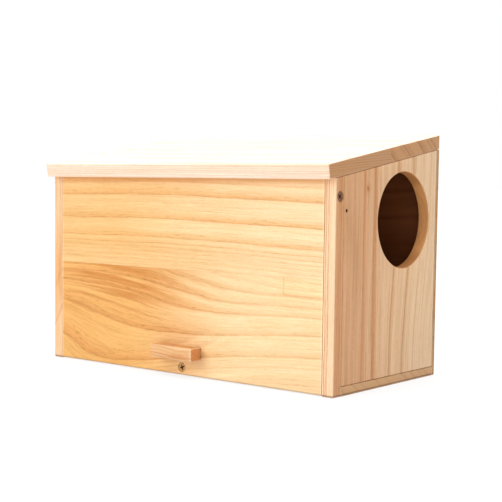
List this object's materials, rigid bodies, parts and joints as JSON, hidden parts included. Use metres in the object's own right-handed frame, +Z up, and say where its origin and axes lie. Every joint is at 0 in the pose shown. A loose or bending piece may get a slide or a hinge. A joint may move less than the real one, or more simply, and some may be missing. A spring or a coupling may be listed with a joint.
{
  "type": "birdhouse",
  "caption": "Long low wooden nest box with a round entrance in one end, a sloping board roof and a front door that swings up on two pivot screws.",
  "frame": {"origin": "centre of the box's footprint at its underside, leaving out the handle and the roof's overhang", "axes": "+X along the box towards the end with the entrance, -Y out of the hinged door, +Y out of the back panel, +Z up"},
  "size_m": [0.3, 0.1573, 0.1956],
  "materials": {
    "door_upper_wood": "bare planed pale wood, straight grain",
    "door_lower_wood": "bare planed wood, warmer, arched grain",
    "end_wood": "bare planed wood, upright grain",
    "roof_wood": "bare planed pale wood",
    "floor_wood": "bare planed wood, end grain showing",
    "back_ply": "bare thin panel with darker edges",
    "handle_wood": "bare wood, darker end grain",
    "screw_steel": "yellowish plated steel, dull",
    "nail_steel": "bright wire steel"
  },
  "bodies": {
    "box": {"floor_board": "floor_wood", "left_end_panel": "end_wood", "right_end_panel": "end_wood", "back_panel": "back_ply", "roof_front_board": "roof_wood", "roof_rear_board": "roof_wood", "roof_pin_left_1": "nail_steel", "roof_pin_left_2": "nail_steel", "roof_pin_left_3": "nail_steel", "roof_pin_right_1": "nail_steel", "roof_pin_right_2": "nail_steel", "roof_pin_right_3": "nail_steel", "floor_pin_left_1": "nail_steel", "floor_pin_left_2": "nail_steel", "floor_pin_right_1": "nail_steel", "floor_pin_right_2": "nail_steel", "back_nail_left_1": "nail_steel", "back_nail_left_2": "nail_steel", "back_nail_left_3": "nail_steel", "back_nail_right_1": "nail_steel", "back_nail_right_2": "nail_steel", "back_nail_right_3": "nail_steel", "back_nail_floor_1": "nail_steel", "back_nail_floor_2": "nail_steel"},
    "door": {"door_upper_board": "door_upper_wood", "door_lower_board": "door_lower_wood", "door_handle": "handle_wood", "handle_screw_left": "screw_steel", "handle_screw_right": "screw_steel", "left_pivot_screw": "screw_steel", "right_pivot_screw": "screw_steel"},
    "lock_screw": {"door_lock_screw": "screw_steel"}
  },
  "joints": [
    {"name": "door_hinge", "type": "hinge", "parent": "box", "child": "door", "pos_m": [0, -0.067, 0.1464], "axis": [-1, 0, 0], "range_deg": [0, 110]},
    {"name": "lock_screw_slide", "type": "slide", "parent": "door", "child": "lock_screw", "axis": [0, -1, 0], "range_m": [0, 0.011]}
  ]
}
